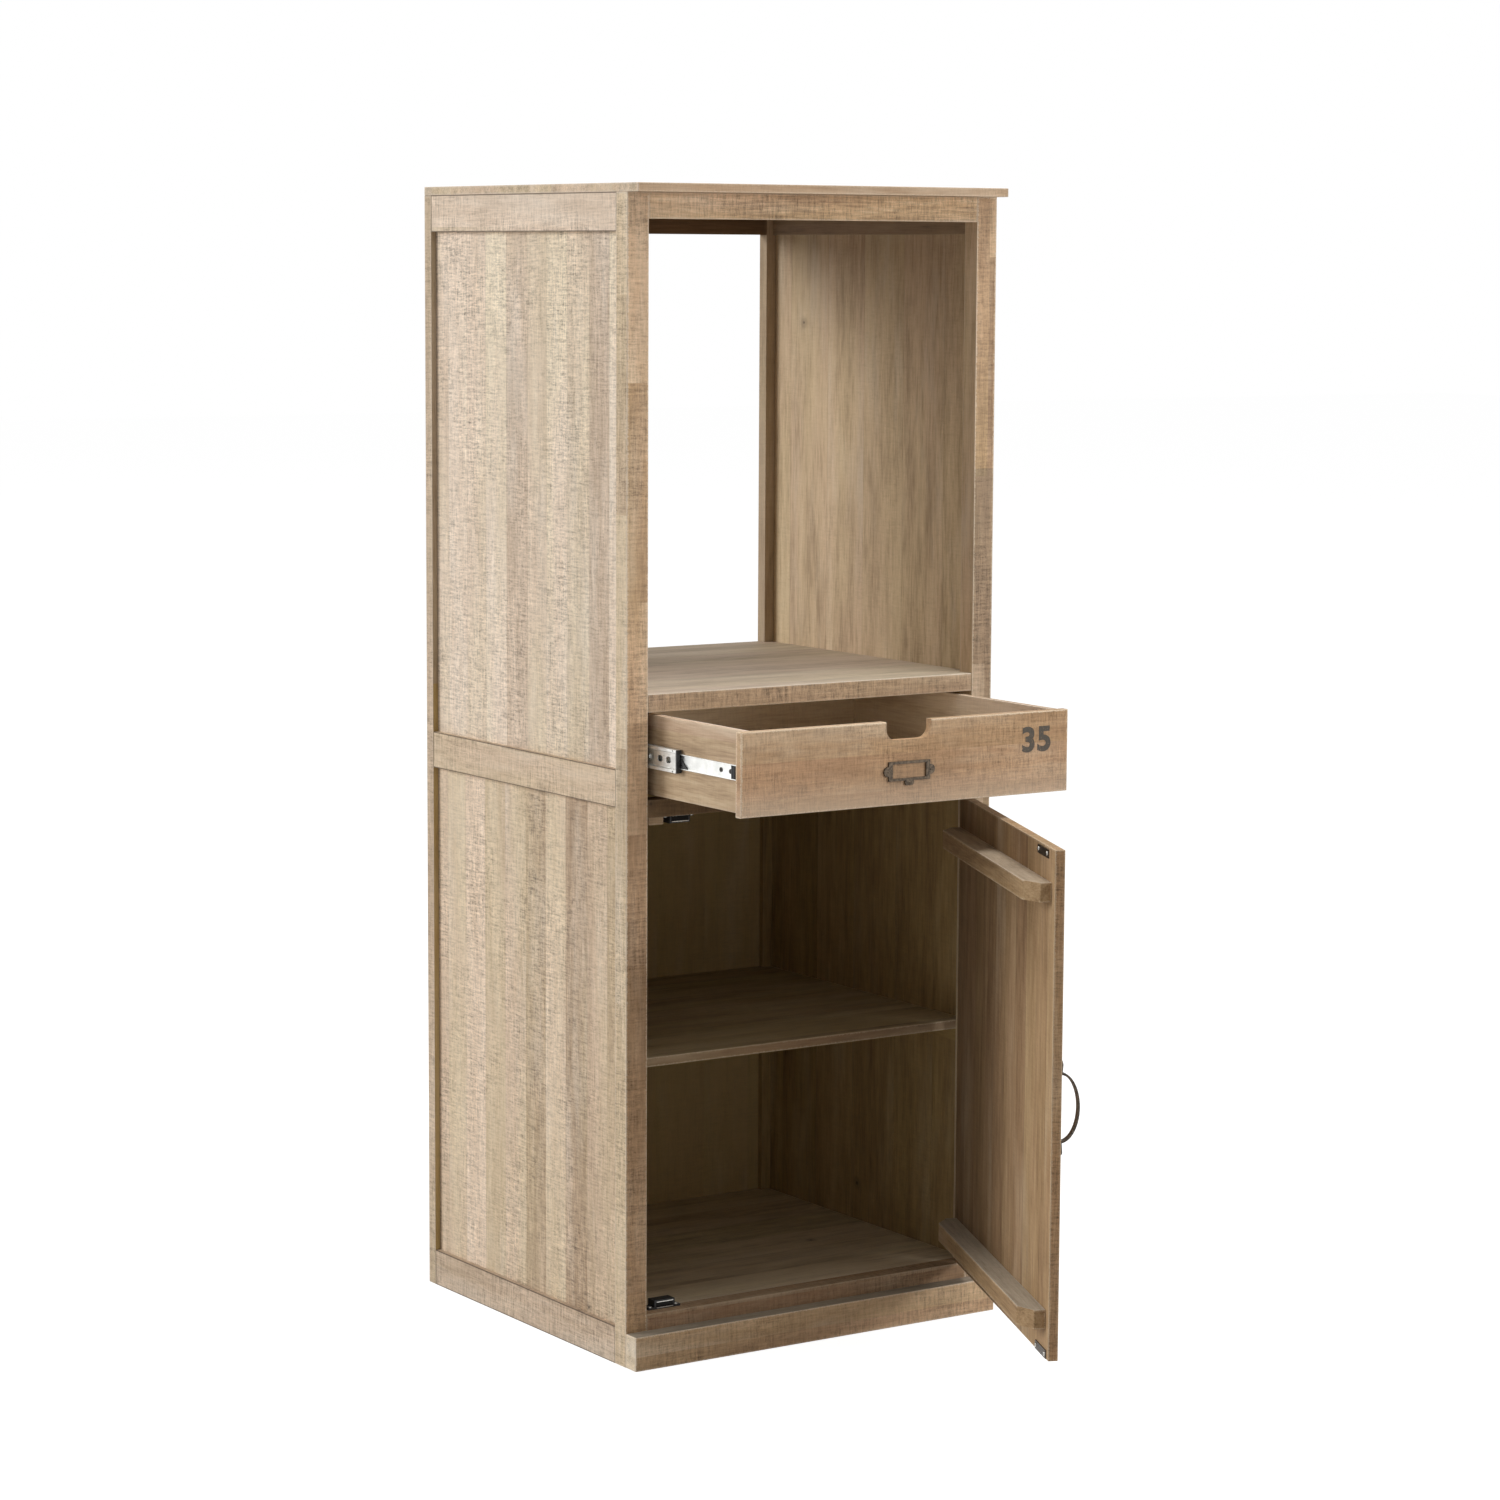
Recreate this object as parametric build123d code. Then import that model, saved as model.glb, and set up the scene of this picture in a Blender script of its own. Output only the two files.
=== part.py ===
from build123d import *
import os

# An oven cabinet with a drawer and a door, in millimetres. X runs to the right, Y to the back and Z up.
# The origin lies on the floor, in the middle of the cabinet's back.
# Right-hand pieces are built on +X and mirrored for the left side.

# Carcass
niche_width = 565.0
depth = 576.0
post_height = 1661.5
front_post_width = 35.0
front_post_depth = 30.0
back_post_width = 32.5
back_post_depth = 20.0
top_thickness = 12.5
top_overhang = 28.0
plinth_height = 50.0
plinth_thickness = 27.0
side_rail_height = 54.0
side_rail_thickness = 20.0
side_rail_inset = 0.5
back_rail_height = 54.0
front_rail_depth = 30.0
floor_rail_height = 43.0
drawer_rail_height = 25.0
top_rail_height = 36.5
top_rail_depth = 20.0

# Levels and boards
floor_top = 73.0
floor_board_thickness = 12.0
middle_shelf_bottom = 425.0
middle_shelf_thickness = 13.7
niche_floor = 964.0
oven_shelf_thickness = 26.0
oven_shelf_back_inset = 2.0
drawer_opening_height = 124.0
board_gap = 0.3
cleat_height = 18.0
slide_spacer_height = 38.0

# Panels, grooves and tenons
panel_thickness = 6.0
side_panel_recess = 9.0
back_panel_inset = 3.0
groove_depth = 8.0
groove_clearance = 0.2
groove_end_play = 0.5
tenon_length = 8.0
tenon_thickness = 8.0
tenon_shoulder = 4.0
tenon_clearance = 0.2

# Door
door_thickness = 14.0
side_gap = 2.5
door_gap_bottom = 3.5
door_gap_top = 6.0
door_edge_radius = 1.0
door_rest_angle = 66.75
batten_height = 27.0
batten_depth = 34.0
batten_edge_gap = 10.0
batten_free_gap = 16.0
batten_chamfer_length = 28.0
batten_chamfer_depth = 18.0
upper_batten_drop = 46.5
lower_batten_rise = 41.5

# Hinges
hinge_length = 63.0
hinge_inset = 90.0
knuckle_count = 5
knuckle_radius = 3.0
knuckle_gap = 0.3
hinge_stand_off = 0.2
pin_radius = 1.5
pin_clearance = 0.05
pin_head_radius = 2.6
pin_head_thickness = 1.2
leaf_thickness = 1.1
leaf_depth = 13.0
hinge_screw_spacing = 40.0
hinge_screw_head_radius = 2.5
hinge_screw_length = 12.0

# Pull handle on the door
handle_edge_distance = 11.5
handle_drop = 2.25
handle_span = 98.0
handle_projection = 27.5
handle_band = 3.3
handle_width = 9.0
handle_pad_width = 18.0
handle_pad_length = 17.0
handle_pad_thickness = 2.4
handle_pad_swell = 0.7
handle_screw_length = 9.0

# Catches, strike plates and stop block
catch_length = 54.0
catch_body_length = 34.0
catch_height = 13.0
catch_depth = 18.0
catch_ear_thickness = 3.0
catch_clearance = 0.3
catch_strike_gap = 0.3
pole_length = 28.0
pole_thickness = 1.2
pole_depth = 15.0
pole_spacing = 8.5
pole_stand_out = 1.2
upper_catch_edge = 62.0
lower_catch_edge = 38.5
strike_length = 58.0
strike_height = 12.0
strike_thickness = 1.5
strike_screw_spacing = 46.0
strike_screw_length = 9.0
upper_strike_drop = 10.0
lower_strike_rise = 7.0
stop_block_depth = 20.0
stop_block_edge = 8.0
stop_block_height = 13.0

# Drawer
drawer_rest = 234.0
drawer_front_thickness = 13.0
drawer_front_radius = 1.5
drawer_gap_bottom = 2.0
drawer_gap_top = 4.5
drawer_side_thickness = 12.0
drawer_side_rise = 4.0
drawer_back_room = 54.0
drawer_bottom_thickness = 5.0
drawer_bottom_rise = 8.0
drawer_groove_depth = 6.0
notch_width = 77.5
notch_depth = 26.0
notch_radius = 16.0
label_drop = 11.0
label_width = 71.0
label_height = 27.4
label_opening_width = 57.3
label_opening_height = 20.0
label_thickness = 2.5
label_lobe_radius = 7.0
label_ear_radius = 4.2
label_ear_offset = 3.4
label_side_reach = 43.5
label_bottom_reach = 20.7
label_pin_radius = 1.2
label_pin_head_radius = 2.1
label_pin_length = 10.0
label_pin_edge = 4.5

# Drawer slides, across measured inwards from the post's inner face
slide_thickness = 12.7
slide_set_back = 17.0
slide_back_room = 109.0
slide_steel = 1.2
outer_height = 42.0
outer_flange = 10.0
middle_set_back = 32.0
middle_web = 7.0
middle_web_height = 22.0
middle_ridge = 3.5
middle_ridge_height = 25.0
middle_height = 32.5
middle_flange = 11.0
inner_height = 21.0
inner_flange = 8.5
middle_share = 0.5
slot_length = 13.0
slot_width = 9.0
slot_margin = 24.0
slot_spacing = 22.0
slot_count = 3
rivet_hole_radius = 1.2
rivet_hole_set_back = 8.0

# Balls and their cages
inner_ball_radius = 2.0
outer_ball_radius = 1.5
inner_cage_web = 8.1
outer_cage_web = 2.05
cage_thickness = 0.4
cage_end_margin = 10.0
ball_pocket_clearance = 0.05
ball_count = 5
inner_ball_across = 9.6
outer_ball_across = 6.4
outer_cage_share = 0.25
inner_cage_share = 0.75

# Plastic pieces of the slides
bumper_length = 3.0
bumper_clearance = 0.6
lever_length = 25.0
lever_thickness = 2.6
lever_set_back = 130.0
lever_edge = 0.5
lever_rim = 3.0
end_bumper_length = 8.0
end_bumper_set_back = 9.0
end_bumper_thickness = 3.0
rib_count = 3
rib_depth = 1.0
rib_gap = 1.4

# Screws
screw_shank_radius = 1.7
screw_fit = 0.05
screw_tip_room = 0.5
slide_screw_length = 12.0
slide_screw_count = 3
slide_screw_margin = 30.0
drawer_screw_margin = 22.0
drawer_screw_spacing = 24.0
drawer_screw_back_margin = 70.0
drawer_screw_length = 10.0
pan_head_radius = 3.4
pan_head_height = 1.3
pan_head_rounding = 0.8
recess_length = 4.2
recess_width = 1.1
recess_depth = 0.8
catch_screw_length = 14.0
catch_screw_set_back = 5.0

# Places that follow from these sizes
half_niche = niche_width / 2
half_width = half_niche + front_post_width
front = -depth
front_post_back = front + front_post_depth
back_post_front = -back_post_depth
back_post_inner = half_width - back_post_width
rail_outer = half_width - side_rail_inset
rail_inner = rail_outer - side_rail_thickness
side_panel_outer = half_width - side_panel_recess
side_panel_inner = side_panel_outer - panel_thickness
back_panel_y = (-back_panel_inset - panel_thickness, -back_panel_inset)
tongue_length = groove_depth - groove_end_play

shelf_bottom = niche_floor - oven_shelf_thickness
drawer_rail_top = shelf_bottom - drawer_opening_height
drawer_rail_bottom = drawer_rail_top - drawer_rail_height
slide_level = (drawer_rail_top + shelf_bottom) / 2
spacer_bottom = slide_level - slide_spacer_height / 2

top_rail_z = (post_height - top_rail_height, post_height)
drawer_rail_z = (drawer_rail_bottom, drawer_rail_top)
floor_rail_z = (floor_top - floor_rail_height, floor_top)
side_top_z = (post_height - side_rail_height, post_height)
side_middle_z = (spacer_bottom - side_rail_height, spacer_bottom)
side_bottom_z = (0, side_rail_height)
back_top_z = (post_height - back_rail_height, post_height)
back_middle_z = (shelf_bottom - back_rail_height, shelf_bottom)
back_bottom_z = (0, back_rail_height)

door_half = half_niche - side_gap
door_bottom = floor_top + door_gap_bottom
door_top = drawer_rail_bottom - door_gap_top
door_inner = front + door_thickness
hinge_x = half_niche - side_gap / 2
hinge_y = front - hinge_stand_off - knuckle_radius
hinge_levels = (door_bottom + hinge_inset, door_top - hinge_inset)
hinge_axis = Axis((hinge_x, hinge_y, 0), (0, 0, 1))
upper_catch_x = upper_catch_edge - door_half
lower_catch_x = lower_catch_edge - door_half
upper_strike_z = door_top - upper_strike_drop
lower_strike_z = door_bottom + lower_strike_rise
handle_level = (door_bottom + door_top) / 2 - handle_drop
pole_front = door_inner + strike_thickness + catch_strike_gap

drawer_bottom_z = drawer_rail_top + drawer_gap_bottom
drawer_top_z = shelf_bottom - drawer_gap_top
drawer_side_bottom = drawer_bottom_z + drawer_side_rise
drawer_side_outer = half_niche - slide_thickness
drawer_side_inner = drawer_side_outer - drawer_side_thickness
drawer_side_front = front + drawer_front_thickness
drawer_back_end = back_panel_y[0] - drawer_back_room
drawer_floor_z = (
    drawer_side_bottom + drawer_bottom_rise,
    drawer_side_bottom + drawer_bottom_rise + drawer_bottom_thickness,
)
slide_front = front + slide_set_back
slide_length = depth - slide_set_back - slide_back_room
slide_travel = slide_length


def block(x, y, z):
    """A rectangular piece between two X, two Y and two Z values."""
    corner = Pos(min(x), min(y), min(z))
    size = Box(abs(x[1] - x[0]), abs(y[1] - y[0]), abs(z[1] - z[0]), align=Align.MIN)
    return corner * size


def across(half, y, z):
    """A rectangular piece that reaches equally far to the left and the right."""
    return block((-half, half), y, z)


def mirrored(shape):
    return mirror(shape, about=Plane.YZ)


def grown(values, extra):
    """A pair of low and high values, widened by the same amount at both ends."""
    return (values[0] - extra, values[1] + extra)


def group(shapes):
    """Separate solids kept together in one sub-part."""
    return Compound([solid for shape in shapes for solid in shape.solids()])


def prism(points, direction, length):
    """A straight piece whose section has these corners."""
    outline = make_face(Polyline(*points, close=True))
    return extrude(outline, amount=length, dir=direction)


# Screws stand with the top of the head at the origin and point down.


def countersunk(head_radius, shank_radius, length, extra=0.0):
    """A screw with a flat conical head, or with extra its hole."""
    profile = [
        (0, 0),
        (head_radius + extra, 0),
        (shank_radius + extra, shank_radius - head_radius),
        (shank_radius + extra, -length - extra),
        (0, -length - extra),
    ]
    section = make_face(Polyline(*[(r, 0, z) for r, z in profile], close=True))
    return revolve(section, Axis.Z)


def pan_screw(length):
    """A screw with a low round head and a cross recess that sits on the surface at the origin."""
    shank = Pos(0, 0, -length / 2) * Cylinder(screw_shank_radius, length)
    head = Pos(0, 0, pan_head_height / 2) * Cylinder(pan_head_radius, pan_head_height)
    rounded = fillet(head.edges().group_by(Axis.Z)[-1], pan_head_rounding)
    arm = Box(recess_length, recess_width, recess_depth)
    cross = Pos(0, 0, pan_head_height - recess_depth / 2) * (arm + Rot(0, 0, 90) * arm)
    return shank + rounded - cross


def pilot(length):
    """The hole for a pan screw's shank."""
    deep = length + screw_tip_room
    return Pos(0, 0, -deep / 2) * Cylinder(screw_shank_radius + screw_fit, deep)


def drilled(shape, hole, places):
    for place in places:
        shape -= place * hole
    return shape


def facing(direction, at):
    """A place whose local Z points in the given direction."""
    return Location(Plane(origin=at, z_dir=direction))


# Carcass


def side_groove(face_y, into):
    """The groove along a post for the side panels and the side rails' tongues."""
    x = grown((side_panel_inner, side_panel_outer), groove_clearance)
    return block(x, (face_y, face_y + into), (0, post_height))


def front_tenon(z, rail_depth, extra=0.0):
    """The stub at a front rail's right end, or with extra its mortise."""
    middle = front + rail_depth / 2
    x = (half_niche, half_niche + tenon_length + extra)
    y = grown((middle, middle), tenon_thickness / 2 + extra)
    return block(x, y, grown(z, extra - tenon_shoulder))


def front_rail(z, rail_depth):
    tenon = front_tenon(z, rail_depth)
    return across(half_niche, (front, front + rail_depth), z) + tenon + mirrored(tenon)


def front_post():
    post = block((half_niche, half_width), (front, front_post_back), (0, post_height))
    post -= side_groove(front_post_back, -groove_depth)
    post -= front_tenon(floor_rail_z, front_rail_depth, tenon_clearance)
    post -= front_tenon(drawer_rail_z, front_rail_depth, tenon_clearance)
    post -= front_tenon(top_rail_z, top_rail_depth, tenon_clearance)
    return post


def back_groove(z):
    """The groove in a back post's inner face, for the back rails and the back panel."""
    x = (back_post_inner, back_post_inner + groove_depth)
    return block(x, grown(back_panel_y, groove_clearance), z)


def back_post():
    post = block((back_post_inner, half_width), (back_post_front, 0), (0, post_height))
    post -= side_groove(back_post_front, groove_depth)
    post -= back_groove((0, shelf_bottom))
    post -= back_groove(back_top_z)
    return post


def edge_groove(x, y, z_edge, into):
    """The groove in a rail's edge, along its whole length."""
    return block(x, y, (z_edge, z_edge + into))


def side_rail(z, groove_below=False, groove_above=False):
    length = (front_post_back, back_post_front)
    rail = block((rail_inner, rail_outer), length, z)
    rail += block((side_panel_inner, side_panel_outer), grown(length, tongue_length), z)
    x = grown((side_panel_inner, side_panel_outer), groove_clearance)
    if groove_below:
        rail -= edge_groove(x, grown(length, groove_depth), z[0], groove_depth)
    if groove_above:
        rail -= edge_groove(x, grown(length, groove_depth), z[1], -groove_depth)
    return rail


def side_panel(low_rail, high_rail):
    y = grown((front_post_back, back_post_front), tongue_length)
    z = grown((low_rail[1], high_rail[0]), tongue_length)
    return block((side_panel_inner, side_panel_outer), y, z)


def back_rail(z, groove_below=False, groove_above=False):
    rail = across(back_post_inner, (back_post_front, 0), z)
    rail += across(back_post_inner + tongue_length, back_panel_y, z)
    x = grown((-back_post_inner, back_post_inner), groove_depth)
    y = grown(back_panel_y, groove_clearance)
    if groove_below:
        rail -= edge_groove(x, y, z[0], groove_depth)
    if groove_above:
        rail -= edge_groove(x, y, z[1], -groove_depth)
    return rail


def back_panel():
    z = grown((back_bottom_z[1], back_middle_z[0]), tongue_length)
    return across(back_post_inner + tongue_length, back_panel_y, z)


def board(z, back_y):
    """A board from side panel to side panel, notched round the back posts."""
    wide = side_panel_inner - board_gap
    narrow = back_post_inner - board_gap
    middle = (front_post_back + board_gap, back_post_front - board_gap)
    return across(wide, middle, z) + across(narrow, (middle[1], back_y), z)


def oven_shelf():
    z = (shelf_bottom, niche_floor)
    lip = across(half_niche - board_gap, (front, front_post_back + board_gap), z)
    return board(z, -oven_shelf_back_inset) + lip


def inner_board(z):
    return board(z, back_panel_y[0] - board_gap)


def cleat(outer, z):
    """A strip of wood along the right side, behind the front post."""
    return block((half_niche, outer), (front_post_back, back_post_front), z)


def cleats():
    floor_board_bottom = floor_top - floor_board_thickness
    strips = [
        cleat(rail_inner, (floor_board_bottom - cleat_height, floor_board_bottom)),
        cleat(side_panel_inner, (middle_shelf_bottom - cleat_height, middle_shelf_bottom)),
        cleat(side_panel_inner, (shelf_bottom - cleat_height, shelf_bottom)),
    ]
    spacer = cleat(side_panel_inner, (spacer_bottom, spacer_bottom + slide_spacer_height))
    strips.append(drilled(spacer, slide_screw(screw_fit), slide_screw_places()))
    return group(strips + [mirrored(strip) for strip in strips])


def top_panel():
    z = (post_height, post_height + top_thickness)
    return across(half_width, (front - top_overhang, 0), z)


def plinth_board():
    return across(half_width, (front - plinth_thickness, front), (0, plinth_height))


# Catches


def catch_seats():
    """Each catch as its place across, its seat and the direction it grows from there."""
    return [
        (upper_catch_x, drawer_rail_bottom, -1),
        (lower_catch_x, floor_top, 1),
    ]


def pole_levels(seat, growth):
    middle = seat + growth * catch_height / 2
    return (middle - pole_spacing / 2, middle + pole_spacing / 2)


def catch_body(x, seat, growth):
    y = (pole_front + pole_stand_out, pole_front + pole_stand_out + catch_depth)
    body = block(grown((x, x), catch_body_length / 2), y, (seat, seat + growth * catch_height))
    ears = block(grown((x, x), catch_length / 2), y, (seat, seat + growth * catch_ear_thickness))
    levels = grown(pole_levels(seat, growth), pole_thickness / 2 + catch_clearance)
    pocket_y = (pole_front, pole_front + pole_depth + catch_clearance)
    pocket = block(grown((x, x), pole_length / 2 + catch_clearance), pocket_y, levels)
    return drilled(body + ears - pocket, pilot(catch_screw_length), catch_screw_places(x, seat, growth))


def catch_screw_places(x, seat, growth):
    reach = (catch_length + catch_body_length) / 4
    y = pole_front + pole_stand_out + catch_screw_set_back
    z = seat + growth * catch_ear_thickness
    return [facing((0, 0, growth), (x + side * reach, y, z)) for side in (-1, 1)]


def catch_magnet(x, seat, growth):
    """A magnet between its two steel pole plates."""
    low, high = pole_levels(seat, growth)
    length = grown((x, x), pole_length / 2)
    pole_y = (pole_front, pole_front + pole_depth)
    half = pole_thickness / 2
    magnet_y = (pole_front + pole_stand_out, pole_front + pole_depth)
    return [
        block(length, pole_y, (low - half, low + half)),
        block(length, pole_y, (high - half, high + half)),
        block(length, magnet_y, (low + half, high - half)),
    ]


def stop_block():
    """The wooden block that the closed door rests against, clear of the catch and its strike plate."""
    left = stop_block_edge - door_half
    right = upper_catch_x - max(catch_length, strike_length) / 2 - board_gap
    y = (door_inner + catch_strike_gap, door_inner + catch_strike_gap + stop_block_depth)
    z = (drawer_rail_bottom - stop_block_height, drawer_rail_bottom)
    return block((left, right), y, z)


# Hinges


def leaf_x(on_door):
    """The leaf's two faces when the door is closed."""
    if on_door:
        return (door_half, door_half + leaf_thickness)
    return (half_niche - leaf_thickness, half_niche)


def knuckles(level, on_door, extra=0.0):
    """The barrel pieces of one leaf, or with extra the room that they turn in."""
    pitch = (hinge_length + knuckle_gap) / knuckle_count
    first = 1 if on_door else 0
    pieces = []
    for number in range(first, knuckle_count, 2):
        low = level - hinge_length / 2 + number * pitch - extra
        height = pitch - knuckle_gap + 2 * extra
        middle = Pos(hinge_x, hinge_y, low + height / 2)
        pieces.append(middle * Cylinder(knuckle_radius + extra, height))
    return pieces


def hinge_screw(extra=0.0):
    shank = hinge_screw_head_radius - leaf_thickness
    return countersunk(hinge_screw_head_radius, shank, hinge_screw_length, extra)


def hinge_screw_places(on_door):
    """Where the leaf screws go when the door is closed."""
    direction = 1 if on_door else -1
    x = leaf_x(True)[1] if on_door else leaf_x(False)[0]
    y = front + leaf_depth / 2
    offsets = (-hinge_screw_spacing / 2, hinge_screw_spacing / 2)
    levels = [level + offset for level in hinge_levels for offset in offsets]
    return [facing((direction, 0, 0), (x, y, z)) for z in levels]


def hinge_leaf(level, on_door):
    z = grown((level, level), hinge_length / 2)
    leaf = block(leaf_x(on_door), (hinge_y, front + leaf_depth), z)
    for room in knuckles(level, not on_door, knuckle_gap):
        leaf -= room
    for knuckle in knuckles(level, on_door):
        leaf += knuckle
    bore = Pos(hinge_x, hinge_y, level) * Cylinder(pin_radius + pin_clearance, hinge_length)
    leaf -= bore
    return drilled(leaf, hinge_screw(screw_fit), hinge_screw_places(on_door))


def hinge_pin(level):
    top = level + hinge_length / 2
    shaft = Pos(hinge_x, hinge_y, level) * Cylinder(pin_radius, hinge_length)
    head_middle = Pos(hinge_x, hinge_y, top + pin_head_thickness / 2)
    return shaft + head_middle * Cylinder(pin_head_radius, pin_head_thickness)


def hinge_post_leaves():
    leaves = [hinge_leaf(level, False) for level in hinge_levels]
    pins = [hinge_pin(level) for level in hinge_levels]
    return group(leaves + pins)


# Door, built closed and then turned to its rest angle


def opened(shape):
    return shape.rotate(hinge_axis, door_rest_angle)


def handle_x():
    return -door_half + handle_edge_distance


def handle_screw_places():
    reach = handle_span / 2 + handle_pad_length / 2
    y = front - handle_pad_thickness
    return [
        facing((0, -1, 0), (handle_x(), y, handle_level + side * reach))
        for side in (-1, 1)
    ]


def strike_screw_places():
    y = door_inner + strike_thickness
    spots = [(upper_catch_x, upper_strike_z), (lower_catch_x, lower_strike_z)]
    half = strike_screw_spacing / 2
    return [
        facing((0, 1, 0), (x + side * half, y, z)) for x, z in spots for side in (-1, 1)
    ]


def door_panel():
    panel = across(door_half, (front, door_inner), (door_bottom, door_top))
    panel = fillet(panel.edges(), door_edge_radius)
    panel = drilled(panel, hinge_screw(screw_fit), hinge_screw_places(True))
    panel = drilled(panel, pilot(strike_screw_length), strike_screw_places())
    return drilled(panel, pilot(handle_screw_length), handle_screw_places())


def batten(low):
    """A cross bar on the door's inner face with sloped ends."""
    right = door_half - batten_edge_gap
    left = -door_half + batten_free_gap
    deep = door_inner + batten_depth
    shallow = deep - batten_chamfer_depth
    corners = [
        (right, door_inner, low),
        (right, shallow, low),
        (right - batten_chamfer_length, deep, low),
        (left + batten_chamfer_length, deep, low),
        (left, shallow, low),
        (left, door_inner, low),
    ]
    return prism(corners, (0, 0, 1), batten_height)


def strike_plate(x, z):
    y = (door_inner, door_inner + strike_thickness)
    plate = block(grown((x, x), strike_length / 2), y, grown((z, z), strike_height / 2))
    return drilled(plate, pilot(strike_screw_length), strike_screw_places())


def handle_bow():
    """Half an elliptical ring that stands out from the door, as wide as the pads."""
    at = Plane(origin=(handle_x(), front, handle_level), x_dir=(0, 0, 1), z_dir=(1, 0, 0))
    outer = Ellipse(handle_span / 2, handle_projection)
    inner = Ellipse(handle_span / 2 - handle_band, handle_projection - handle_band)
    ring = extrude(at * (outer - inner), amount=handle_pad_width / 2, both=True)
    level = grown((handle_level, handle_level), handle_span)
    x = grown((handle_x(), handle_x()), handle_pad_width)
    return ring & block(x, (front, front - handle_projection), level)


def handle_leaf():
    """The outline of the upper pad seen from the front, from the bow's foot to its tip."""
    foot = handle_span / 2 - handle_band
    wide = handle_span / 2 + handle_pad_length * handle_pad_swell
    tip = handle_span / 2 + handle_pad_length
    half = handle_pad_width / 2
    sides = Polyline((half, wide), (handle_width / 2, foot), (-handle_width / 2, foot), (-half, wide))
    return make_face(sides + ThreePointArc((-half, wide), (0, tip), (half, wide)))


def door_handle():
    at = Plane(origin=(handle_x(), front, handle_level), x_dir=(1, 0, 0), z_dir=(0, -1, 0))
    strap = extrude(at * Rectangle(handle_width, handle_span), amount=handle_projection)
    pad = handle_leaf()
    pads = extrude(at * (pad + mirror(pad, about=Plane.XZ)), amount=handle_pad_thickness)
    handle = (handle_bow() & strap) + pads
    return drilled(handle, pilot(handle_screw_length), handle_screw_places())


def door_screws():
    places = strike_screw_places() + handle_screw_places()
    screws = [place * pan_screw(strike_screw_length) for place in places]
    screws += [place * hinge_screw() for place in hinge_screw_places(True)]
    return group(screws)


# Drawer, built closed and then drawn out to its rest place


def drawer_front():
    y = (front, drawer_side_front)
    board_front = across(door_half, y, (drawer_bottom_z, drawer_top_z))
    edges = board_front.edges().group_by(Axis.Y)[0]
    board_front = fillet(edges, drawer_front_radius)
    opening = RectangleRounded(notch_width, 2 * notch_depth, notch_radius)
    at = Plane(origin=(0, drawer_side_front, drawer_top_z), x_dir=(1, 0, 0), z_dir=(0, -1, 0))
    board_front -= extrude(at * opening, amount=drawer_front_thickness)
    board_front -= drawer_groove()
    return drilled(board_front, label_pin_hole(), label_pin_places())


def drawer_groove():
    """The room for the drawer's bottom board in the four boards round it."""
    half = drawer_side_inner + drawer_groove_depth
    y = (
        drawer_side_front - drawer_groove_depth,
        drawer_back_end - drawer_side_thickness + drawer_groove_depth,
    )
    return across(half, y, grown(drawer_floor_z, groove_clearance))


def drawer_side():
    x = (drawer_side_inner, drawer_side_outer)
    side = block(x, (drawer_side_front, drawer_back_end), (drawer_side_bottom, drawer_top_z))
    return drilled(side - drawer_groove(), pilot(drawer_screw_length), drawer_screw_places())


def drawer_back():
    y = (drawer_back_end - drawer_side_thickness, drawer_back_end)
    return across(drawer_side_inner, y, (drawer_side_bottom, drawer_top_z)) - drawer_groove()


def drawer_bottom():
    reach = drawer_groove_depth - groove_end_play
    y = (drawer_side_front - reach, drawer_back_end - drawer_side_thickness + reach)
    return across(drawer_side_inner + reach, y, drawer_floor_z)


def label_plane():
    level = (drawer_bottom_z + drawer_top_z) / 2 - label_drop
    return Plane(origin=(0, front, level), x_dir=(1, 0, 0), z_dir=(0, -1, 0))


def label_pin_spots():
    """The three pins, seen from the front and counted from the middle of the frame."""
    side = label_side_reach - label_lobe_radius
    return [(-side, 0), (side, 0), (0, label_pin_edge - label_bottom_reach)]


def label_pin_places():
    at = label_plane()
    return [at.location * Pos(x, z, label_thickness) for x, z in label_pin_spots()]


def label_pin_hole():
    deep = label_pin_length + screw_tip_room
    return Pos(0, 0, -deep / 2) * Cylinder(label_pin_radius + screw_fit, deep)


def label_pin():
    shaft = Pos(0, 0, -label_pin_length / 2) * Cylinder(label_pin_radius, label_pin_length)
    return shaft + Sphere(label_pin_head_radius, arc_size1=0)


def label_frame():
    """A card frame with a round ear at each side and two small ones below."""
    plate = Rectangle(label_width, label_height)
    side = label_side_reach - label_lobe_radius
    plate += [Pos(x, 0) * Circle(label_lobe_radius) for x in (-side, side)]
    level = label_ear_radius - label_bottom_reach
    plate += [Pos(x, level) * Circle(label_ear_radius) for x in (-label_ear_offset, label_ear_offset)]
    plate -= Rectangle(label_opening_width, label_opening_height)
    frame = extrude(label_plane() * plate, amount=label_thickness)
    frame = drilled(frame, label_pin_hole(), label_pin_places())
    pins = [place * label_pin() for place in label_pin_places()]
    return group([frame] + pins)


# Drawer slides


def slide_x(distance):
    """X on the right side, from the distance to the post's inner face."""
    return half_niche - distance


def strip(points, y):
    """A bent steel strip along Y, from the middle line of its section as (across, up) points."""
    middle = [Vector(slide_x(a), slide_level + b) for a, b in points]
    sides = ([], [])
    for number, point in enumerate(middle):
        runs = []
        if number > 0:
            runs.append((point - middle[number - 1]).normalized())
        if number < len(middle) - 1:
            runs.append((middle[number + 1] - point).normalized())
        normals = [Vector(-run.Y, run.X) for run in runs]
        total = normals[0] + normals[-1]
        reach = total * (slide_steel / (1 + normals[0].dot(normals[-1])) / 2)
        sides[0].append(point + reach)
        sides[1].append(point - reach)
    outline = [(p.X, y[0], p.Y) for p in sides[0] + sides[1][::-1]]
    return prism(outline, (0, 1, 0), y[1] - y[0])


def both_ways(points):
    """A section's middle line, mirrored about the slide's level."""
    return [(a, -b) for a, b in points[::-1]] + points


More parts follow.
